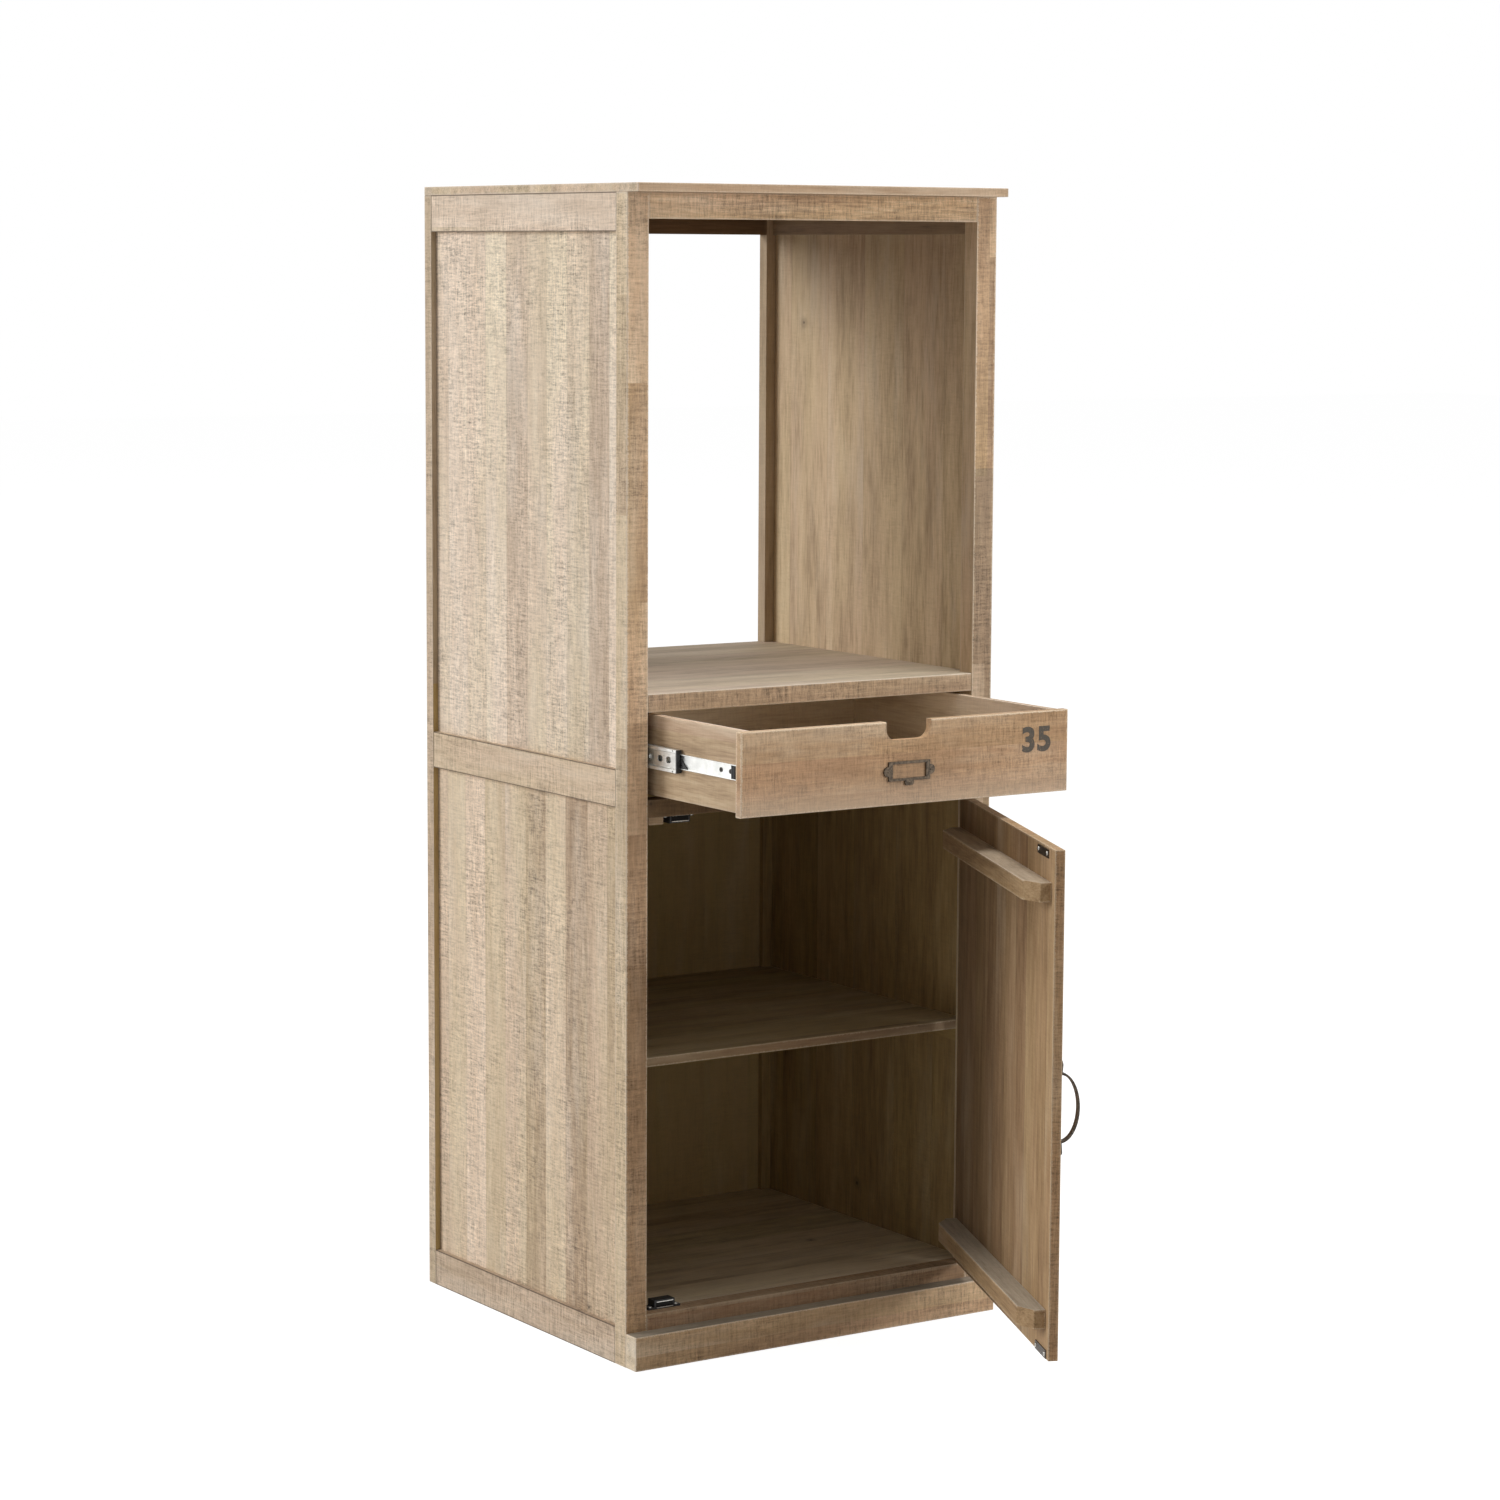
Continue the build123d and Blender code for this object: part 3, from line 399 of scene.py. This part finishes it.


# Outside faces: paler, greyer wood, partly its own lime and partly painted sheen of the side light
PALE = shades((163, 143, 120), (213, 196, 175), (236, 223, 205), (226, 215, 200))
DUSKY = shades((150, 127, 101), (201, 181, 156), (228, 211, 189), (216, 203, 186))
WARM = shades((132, 103, 74), (188, 158, 125), (218, 191, 158), (222, 202, 176))
PLANED = shades((136, 112, 86), (190, 164, 134), (214, 190, 162), (210, 194, 172))
INNER = shades((140, 118, 91), (197, 175, 145), (217, 198, 168), (211, 198, 178))
DUSTY = shades((102, 94, 84), (139, 129, 116), (166, 156, 142), (178, 169, 156))
GREYED = shades((118, 102, 86), (165, 148, 130), (190, 174, 156), (200, 186, 168))
SHELF = shades((142, 128, 110), (195, 181, 162), (217, 204, 187), (220, 208, 192))
OLIVE = shades((112, 98, 72), (165, 149, 116), (188, 170, 138), (200, 184, 154))
FLOOR = shades((150, 134, 108), (203, 188, 160), (220, 206, 180), (214, 200, 176))
SHADED = shades((126, 99, 66), (167, 141, 94), (192, 166, 118), (202, 182, 142))
BACKING = shades((142, 122, 84), (194, 172, 122), (208, 188, 140), (210, 194, 156))
POSTED = shades((110, 94, 74), (162, 142, 118), (184, 165, 140), (186, 170, 148))
DULLED = shades((142, 121, 97), (190, 171, 148), (216, 200, 179), (206, 193, 176))
EDGED = shades((116, 96, 75), (169, 145, 120), (196, 172, 147), (204, 187, 164))
# Darker rail colour: painted shade from the open drawer and door on the floor rail
FLOOR_RAIL_PAINTED_SHADE = shades((113, 86, 61), (154, 124, 95), (182, 154, 124), (194, 175, 149))
# Painted shade under the top, on the inner faces of the side top rails
PAINTED_SHADE_UNDER_TOP = shades((92, 76, 60), (134, 114, 92), (156, 136, 112), (162, 146, 122))
# Painted shadow: the drawer rail under the open drawer, the back top rail's inside under the top
PAINTED_SHADOW = shades((68, 51, 34), (101, 79, 54), (126, 101, 75), (133, 111, 85))
RAILED = shades((142, 112, 83), (203, 171, 136), (230, 206, 174), (230, 212, 188))
DOOR = shades((98, 73, 47), (160, 131, 98), (193, 166, 132), (206, 185, 156))
LEFT_POST_LOW_TONE_AND_SHADE = shades((122, 95, 67), (178, 147, 113), (208, 180, 147), (214, 194, 168))
RIGHT_POST_LOW_TONE_AND_SHADE = shades((118, 99, 78), (167, 144, 117), (196, 173, 147), (206, 189, 165))
STILE = shades((92, 66, 42), (147, 116, 84), (178, 150, 118), (200, 178, 150))
LIPPED = shades((96, 76, 54), (142, 118, 90), (168, 144, 114), (198, 180, 152))
TOPPED = shades((124, 98, 70), (178, 151, 121), (208, 183, 153), (214, 196, 172))
ASHEN = shades((126, 112, 98), (172, 160, 146), (196, 184, 170), (204, 194, 180))
DRAWER = shades((132, 108, 84), (183, 158, 131), (209, 188, 161), (212, 196, 174))
# Pale drawer inside: partly pale wood, partly painted light where the lamps hardly reach
LINING_WITH_PAINTED_LIGHT = shades((190, 170, 148), (234, 219, 200), (242, 230, 214), (240, 228, 212))
PINKISH = shades((130, 99, 70), (176, 142, 109), (206, 175, 142), (224, 203, 175))

ROUGH = {
    "Stave Contrast": 0.0, "Grain": 0.6, "Saw": 1.15, "Mottle": 0.6, "Wear": 0.5,
    "Stave Width": 0.057,
}
STAVED = {
    "Stave Contrast": 0.62, "Grain": 0.6, "Saw": 1.2, "Mottle": 0.5, "Wear": 0.0,
    "Stave Width": 0.057,
}
SMOOTH = {
    "Stave Contrast": 0.2, "Grain": 1.0, "Saw": 0.25, "Mottle": 0.7, "Wear": 0.3,
    "Stave Width": 0.092,
}
EVEN = {**SMOOTH, "Stave Contrast": 0.0}

# Planes just under a board's face: the axis, the side it is on and how far out it is, in metres
OUTSIDE = ("X", 0, 0.3172)
FRONT = ("Y", -1, 0.5757)
BACK = ("Y", 1, -0.0003)
PAST_NICHE = ("X", 0, 0.2827)
SHELF_FRONT = ("Y", -1, -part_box("middle_shelf")[0].y - 0.3 * MM)

# What each board looks like: the axes of its grain and its width, its colours, its finish, and
# what is different on it. A face has other colours and another finish past its plane. A ramp is
# the axis it grows along, its start and end, its colour, its strongest share, and how far from
# the cabinet's middle it reaches; on the door and the upper panels it is painted shade, and on the
# drawer front it makes the bottom lighter. A knot is its place and its radius.
BOARDS = {
    "top_panel": ("X", "Y", TOPPED, ROUGH, {
        "Saw": 0.6, "Stave Contrast": 0.2, "faces": [(*OUTSIDE, DUSKY, ROUGH)],
    }),
    "plinth_board": ("X", "Z", WARM, ROUGH, {
        "Wear": 0.9, "faces": [("Z", 1, 0.0497, DUSTY, SMOOTH), (*OUTSIDE, PALE, ROUGH)],
    }),
    "front_top_rail": ("X", "Z", RAILED, ROUGH, {"Grain": 1.2}),
    "drawer_rail": ("X", "Z", PAINTED_SHADOW, ROUGH, {"knots": [((-0.278, -0.576, 0.809), 0.007)]}),
    "floor_rail": ("X", "Z", FLOOR_RAIL_PAINTED_SHADE, ROUGH, {}),
    "back_top_rail": ("X", "Z", PAINTED_SHADOW, EVEN, {"faces": [(*BACK, WARM, ROUGH)]}),
    "back_middle_rail": ("X", "Z", WARM, ROUGH, {}),
    "back_bottom_rail": ("X", "Z", WARM, ROUGH, {}),
    "back_panel": ("Z", "X", BACKING, EVEN, {
        "Grain": 0.3, "Mottle": 0.4, "Wear": 0.0, "faces": [("Y", 1, -0.0045, PLANED, EVEN)],
    }),
    "oven_shelf": ("X", "Y", SHELF, SMOOTH, {
        "Grain": 0.9, "Wear": 0.9,
        "faces": [(*FRONT, EDGED, ROUGH), ("Y", 1, -0.0023, EDGED, ROUGH)],
    }),
    "middle_shelf": ("X", "Y", OLIVE, SMOOTH, {
        "Wear": 0.8, "faces": [(*SHELF_FRONT, LIPPED, {})],
    }),
    "floor_board": ("X", "Y", FLOOR, SMOOTH, {
        "Wear": 1.0, "knots": [((0.163, -0.341, 0.073), 0.006)],
    }),
    "side_cleats": ("Y", "Z", SHADED, EVEN, {"Wear": 0.0}),
    "door_stop_block": ("X", "Z", PLANED, EVEN, {}),
    "drawer_front": ("X", "Z", PINKISH, ROUGH, {
        "Saw": 0.85, "Mottle": 0.45, "Wear": 0.9,
        # The ramp makes the drawer front lighter and greyer towards its bottom
        "stain": ("Z", 0.875, 0.8, rgb(206, 189, 168), 0.5, 1.0),
    }),
    "left_drawer_side": ("Y", "Z", DRAWER, EVEN, {
        "Grain": 1.2, "faces": [("X", 1, -0.2605, LINING_WITH_PAINTED_LIGHT, EVEN)],
    }),
    "right_drawer_side": ("Y", "Z", DRAWER, EVEN, {
        "Grain": 1.2, "faces": [("X", -1, -0.2605, LINING_WITH_PAINTED_LIGHT, EVEN)],
    }),
    "drawer_back": ("X", "Z", LINING_WITH_PAINTED_LIGHT, EVEN, {}),
    "drawer_bottom": ("X", "Y", LINING_WITH_PAINTED_LIGHT, SMOOTH, {}),
    "door_panel": ("Z", "X", DOOR, SMOOTH, {
        "Stave Width": 0.06, "Grain": 0.9, "Mottle": 0.7, "Wear": 0.6,
        "faces": [
            ("X", -1, 0.2797, STILE, ROUGH),
            (*FRONT, PINKISH, {**STAVED, "Stave Contrast": 0.4, "Wear": 0.6}),
        ],
        # Painted shade: the door darkens towards its hinge, where the cabinet shades it
        "stain": ("X", 0.02, 0.26, rgb(72, 50, 24), 0.36, 1.0),
    }),
    "door_upper_batten": ("X", "Z", DOOR, EVEN, {
        "Saw": 0.4, "Wear": 0.6, "faces": [("Z", 1, 0.7362, GREYED, {})],
    }),
    "door_lower_batten": ("X", "Z", DOOR, EVEN, {
        "Saw": 0.4, "Wear": 0.6, "faces": [("Z", 1, 0.1447, ASHEN, {})],
    }),
}

POST_FRONT = (*PAST_NICHE, WARM, {**ROUGH, "Lengths": 0.35, "Wear": 0.85})
# The side rails' outsides get painted shade along their seams with the posts and panels
RAIL_OUTSIDE = {**ROUGH, "Seam": 0.8, "Wear": 0.0}
# The direction in which each side's inner faces look, and the joint in its front post, below
# which the post is darker: partly its own tone, partly painted shade from the drawer and door.
SIDES = {
    "left": (1, ("Z", -1, -0.58, LEFT_POST_LOW_TONE_AND_SHADE, {})),
    "right": (-1, ("Z", -1, -1.266, RIGHT_POST_LOW_TONE_AND_SHADE, {})),
}
RAILS = {"top": (PAINTED_SHADE_UNDER_TOP, PALE), "middle": (INNER, DUSKY), "bottom": (INNER, DULLED)}
PANELS = {
    # Painted shade: the upper panels' inner faces darken towards the top, under the top rail
    "upper": (INNER, PALE, {"stain": ("Z", 1.33, 1.62, rgb(78, 58, 42), 0.26, 0.306)}),
    "lower": (SHADED, DUSKY, {}),
}
PANEL_KNOTS = {
    "left_lower_panel": ((-0.3085, -0.46, 0.061), 0.005),
    "right_lower_panel": ((0.3025, -0.264, 0.13), 0.006),
    "right_upper_panel": ((0.3025, -0.1, 1.471), 0.006),
}


def side_boards(side):
    """What the posts, rails and panels of one side look like."""
    inward, joint = SIDES[side]
    niche_face = ("X", inward, -0.2827, INNER, EVEN)
    front_faces = [POST_FRONT, joint, niche_face, (*OUTSIDE, DUSKY, ROUGH)]
    back_faces = [
        ("Z", -1, -0.93, SHADED, {}), (*BACK, WARM, ROUGH), (*OUTSIDE, DULLED, ROUGH),
    ]
    boards = {
        side + "_front_post": ("Z", "X", INNER, EVEN, {"faces": front_faces}),
        side + "_back_post": ("Z", "X", POSTED, EVEN, {"Wear": 0.1, "faces": back_faces}),
    }
    for level, (within, outside) in RAILS.items():
        faces = [("X", 0, 0.2977, outside, RAIL_OUTSIDE)]
        boards[f"{side}_{level}_rail"] = ("Y", "Z", within, EVEN, {"faces": faces})
    for level, (within, outside, stain) in PANELS.items():
        name = f"{side}_{level}_panel"
        changes = {"Stave Width": 0.1, "Wear": 0.0, **stain}
        changes["faces"] = [("X", 0, 0.306, outside, STAVED)]
        changes["knots"] = [PANEL_KNOTS[name]] if name in PANEL_KNOTS else []
        boards[name] = ("Z", "Y", within, SMOOTH, changes)
    return boards


for side in SIDES:
    BOARDS.update(side_boards(side))
SEEDS = {name: 3.7 * number + 1.3 for number, name in enumerate(sorted(BOARDS))}

ARRIS = (0.8 * MM, 2)
ARRISES = {
    "drawer_front": (2.6 * MM, 4),
    "door_panel": (1.4 * MM, 3),
    "oven_shelf": (1.5 * MM, 3),
    "plinth_board": (1.4 * MM, 3),
    "floor_board": (1.2 * MM, 2),
}


def corners(points):
    """The low and high corners of the box round the points."""
    low = Vector(min(point[axis] for point in points) for axis in range(3))
    high = Vector(max(point[axis] for point in points) for axis in range(3))
    return low, high


def shown_box(name):
    """A board's box without the tongues that its grooves hide, on the door with the door closed."""
    if name in ON_DOOR:
        turn = Matrix.Rotation(DOOR_CLOSING_TURN, 4, "Z")
        found = nodes[name].data.vertices
        return corners([turn @ (vertex.co - HINGE_AXIS) + HINGE_AXIS for vertex in found])
    low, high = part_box(name)
    if name.endswith("_rail"):
        if name.split("_")[0] in SIDES:
            low.y, high.y = -546 * MM, -20 * MM
        else:
            low.x, high.x = -282.5 * MM, 282.5 * MM
    return low, high


def dress(name, material):
    """Gives every slot of a CAD node this material."""
    for holder in nodes[name].material_slots:
        holder.link = "OBJECT"
        holder.material = material


def soften(name, width, segments):
    """Welds a board's split corners and rounds its arrises."""
    thing = nodes[name]
    weld = thing.modifiers.new("weld", "WELD")
    weld.merge_threshold = WELD_DISTANCE
    bevel = thing.modifiers.new("arris", "BEVEL")
    bevel.width = width
    bevel.segments = segments
    bevel.limit_method = "ANGLE"
    bevel.angle_limit = math.radians(50)
    bevel.harden_normals = True


for name, look in sorted(BOARDS.items()):
    timber = wood(name + "_timber", look, SEEDS[name], shown_box(name), name in ON_DOOR)
    dress(name, timber)
    soften(name, *ARRISES.get(name, ARRIS))


# Metal and plastic

BRUSH_LINES = 900.0
FERRITE = rgb(34, 33, 32)


def metal(name, colour, worn, metallic, roughness, cloudiness, brushed=1.0, dull_behind=None):
    """Metal with fine brushing and a cloudy finish. Behind the plane it is black ferrite."""
    material, net, shader = new_material(name)
    place = net.here()
    x, y, z = net.parts(place)
    along = net.times(y, BRUSH_LINES / brushed)
    lines = net.noise(net.vector(net.times(x, BRUSH_LINES), along, net.times(z, BRUSH_LINES)))
    sides = [net.times(way, cloudiness) for way in (x, y, z)]
    cloud = net.noise(net.vector(*sides), 4.0, 0.65)
    shade = net.mix(net.rise(cloud, 0.35, 0.7), colour, worn)
    if dull_behind is not None:
        shade = net.mix(net.math("GREATER_THAN", y, dull_behind), shade, FERRITE)
    rough = net.add(roughness, net.swing(lines, 0.18), net.swing(cloud, 0.16))
    bump = {"Height": net.add(net.times(lines, 0.5), cloud), "Strength": 0.25}
    bump["Distance"] = 0.2 * MM
    shader.inputs["Metallic"].default_value = metallic
    net.feed(shader.inputs["Base Color"], shade)
    net.feed(shader.inputs["Roughness"], rough)
    net.feed(shader.inputs["Normal"], net.node("Bump", bump).outputs[0])
    return material


PLATED = (rgb(176, 174, 168), rgb(206, 204, 198), 1.0, 0.36, 400.0)
FITTINGS = {
    "slide_zinc": metal(
        "zinc_plate", rgb(208, 209, 206), rgb(226, 226, 223), 1.0, 0.42, 60.0, brushed=8.0,
    ),
    "screw_steel": metal("screw_plate", *PLATED),
    "dark_bronze": metal("bronze_patina", rgb(50, 43, 37), rgb(92, 80, 67), 0.7, 0.42, 220.0),
    "black_plastic": metal("black_moulding", rgb(30, 30, 31), rgb(42, 42, 42), 0.0, 0.5, 300.0),
}
# Nodes that look different from others with the same slot
ALONE = {
    "catch_magnets": metal("magnet_and_poles", *PLATED, dull_behind=-0.5597),
    # The drawer's screws are dark all over: painted shade of their recesses
    "drawer_screws": metal("screws_dark_as_recess_shade", rgb(52, 50, 48), rgb(78, 75, 71), 0.8, 0.45, 400.0),
    "label_frame": metal("antique_label", rgb(60, 51, 42), rgb(104, 90, 74), 0.7, 0.42, 260.0),
}
for name, thing in nodes.items():
    if name not in BOARDS:
        dress(name, ALONE.get(name) or FITTINGS[thing.material_slots[0].material.name])


# The painted number

NUMBER_LEFT, NUMBER_RIGHT = 198 * MM, 249 * MM
NUMBER_BOTTOM, NUMBER_TOP = 875.5 * MM, 912.5 * MM
PAINT_THICKNESS = 0.2 * MM
PAINT = rgb(74, 71, 65)


def painted_number(digits):
    """The digits as a thin closed solid, half of it in the drawer front."""
    text = bpy.data.curves.new("digits", "FONT")
    text.body = digits
    text.offset = 0.035
    text.extrude = 0.5
    text.space_character = 1.08
    drawn = bpy.data.objects.new("digits", text)
    mesh = bpy.data.meshes.new_from_object(drawn)
    bpy.data.objects.remove(drawn)
    low, high = corners([vertex.co for vertex in mesh.vertices])
    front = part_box("drawer_front")[0].y
    for vertex in mesh.vertices:
        shares = ((vertex.co[axis] - low[axis]) / (high[axis] - low[axis]) for axis in range(3))
        across, up, out = shares
        x = NUMBER_LEFT + across * (NUMBER_RIGHT - NUMBER_LEFT)
        z = NUMBER_BOTTOM + up * (NUMBER_TOP - NUMBER_BOTTOM)
        vertex.co = (x, front + (0.5 - out) * 2 * PAINT_THICKNESS, z)
    shaped = bmesh.new()
    shaped.from_mesh(mesh)
    bmesh.ops.remove_doubles(shaped, verts=shaped.verts, dist=WELD_DISTANCE)
    bmesh.ops.recalc_face_normals(shaped, faces=shaped.faces)
    shaped.to_mesh(mesh)
    shaped.free()
    number = bpy.data.objects.new("painted_number", mesh)
    bpy.context.scene.collection.objects.link(number)
    board = "drawer_front"
    paint = wood("number_paint", BOARDS[board], SEEDS[board], shown_box(board), paint=PAINT)
    mesh.materials.clear()
    mesh.materials.append(paint)
    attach(number, "drawer")


painted_number("35")


# Floor and light

FLOOR_REACH = 30.0
FLOOR_DROP = 0.5 * MM
FLOOR_GLOW, FLOOR_SHADE = 0.88, 0.4
WORLD_SEEN, WORLD_LIGHT = 0.72, 0.28
WHITE = (1, 1, 1, 1)
# Each lamp's place, what it points at, its size and its power, in metres and watts
LAMPS = {
    "left_softbox": ((-11.0, 6.6, 5.4), (0, -0.3, 0.9), 6.4, 1230),
    "right_softbox": ((3.7, -4.5, 2.1), (0, -0.5, 0.9), 1.6, 122),
    "overhead_softbox": ((0.2, -1.5, 4.8), (0, -0.7, 0.8), 2.0, 115),
}


def floor_material():
    """White to the camera and in reflections, where a share of it is lit and keeps the shadow, and
    plain to the light on the pieces."""
    material, net, shader = new_material("white_floor")
    tree = material.node_tree
    tree.nodes.remove(shader)
    seen = net.seen()
    glow = net.node("Emission", {"Color": WHITE, "Strength": FLOOR_GLOW}).outputs[0]
    lit = (FLOOR_SHADE, FLOOR_SHADE, FLOOR_SHADE, 1)
    shade = net.node("BsdfDiffuse", {"Color": lit}).outputs[0]
    both = net.node("AddShader", {0: glow, 1: shade}).outputs[0]
    plain = net.node("BsdfDiffuse", {"Color": (0.6, 0.59, 0.58, 1)}).outputs[0]
    chosen = net.node("MixShader", {0: seen, 1: plain, 2: both}).outputs[0]
    net.feed(tree.nodes["Material Output"].inputs["Surface"], chosen)
    return material


def floor():
    mesh = bpy.data.meshes.new("floor")
    far = FLOOR_REACH
    outline = [(-far, -far, 0), (far, -far, 0), (far, far, 0), (-far, far, 0)]
    mesh.from_pydata(outline, [], [(0, 1, 2, 3)])
    thing = bpy.data.objects.new("floor", mesh)
    bpy.context.scene.collection.objects.link(thing)
    mesh.materials.append(floor_material())
    thing.location.z = -FLOOR_DROP


def surroundings():
    """White to the camera, and a weaker light on everything."""
    world = bpy.data.worlds.new("studio")
    bpy.context.scene.world = world
    world.use_nodes = True
    net = Net(world.node_tree)
    backdrop = world.node_tree.nodes["Background"]
    backdrop.inputs["Color"].default_value = WHITE
    strength = net.add(net.times(net.seen(), WORLD_SEEN), WORLD_LIGHT)
    net.feed(backdrop.inputs["Strength"], strength)


def lamp(name, place, aim, size, power):
    light = bpy.data.lights.new(name, "AREA")
    light.shape = "SQUARE"
    light.size = size
    light.energy = power
    thing = bpy.data.objects.new(name, light)
    thing.location = place
    thing.rotation_mode = "QUATERNION"
    thing.rotation_quaternion = (Vector(aim) - Vector(place)).to_track_quat("-Z", "Y")
    bpy.context.scene.collection.objects.link(thing)


floor()
surroundings()
for name, setting in LAMPS.items():
    lamp(name, *setting)


# Camera

EYE = Vector((-3243.59, -5299.34, 1575.01)) * MM
YAW = math.radians(33.557)
PITCH = math.radians(7.044)
ROLL = math.radians(0.303)
FOCAL_LENGTH_PIXELS, PICTURE_PIXELS = 4001.57, 1500
SENSOR_WIDTH = 36


def place_camera():
    flat = math.cos(PITCH)
    ahead = Vector((math.sin(YAW) * flat, math.cos(YAW) * flat, -math.sin(PITCH)))
    level = Vector((math.cos(YAW), -math.sin(YAW), 0))
    upward = level.cross(ahead)
    right = level * math.cos(ROLL) + upward * math.sin(ROLL)
    above = upward * math.cos(ROLL) - level * math.sin(ROLL)
    camera = bpy.data.cameras.new("camera")
    camera.sensor_width = SENSOR_WIDTH
    camera.lens = SENSOR_WIDTH * FOCAL_LENGTH_PIXELS / PICTURE_PIXELS
    camera.clip_end = 100
    holder = bpy.data.objects.new("camera", camera)
    turn = Matrix((right, above, -ahead)).transposed().to_4x4()
    holder.matrix_world = Matrix.Translation(EYE) @ turn
    bpy.context.scene.collection.objects.link(holder)
    bpy.context.scene.camera = holder


place_camera()
bpy.context.scene.view_settings.view_transform = "Standard"
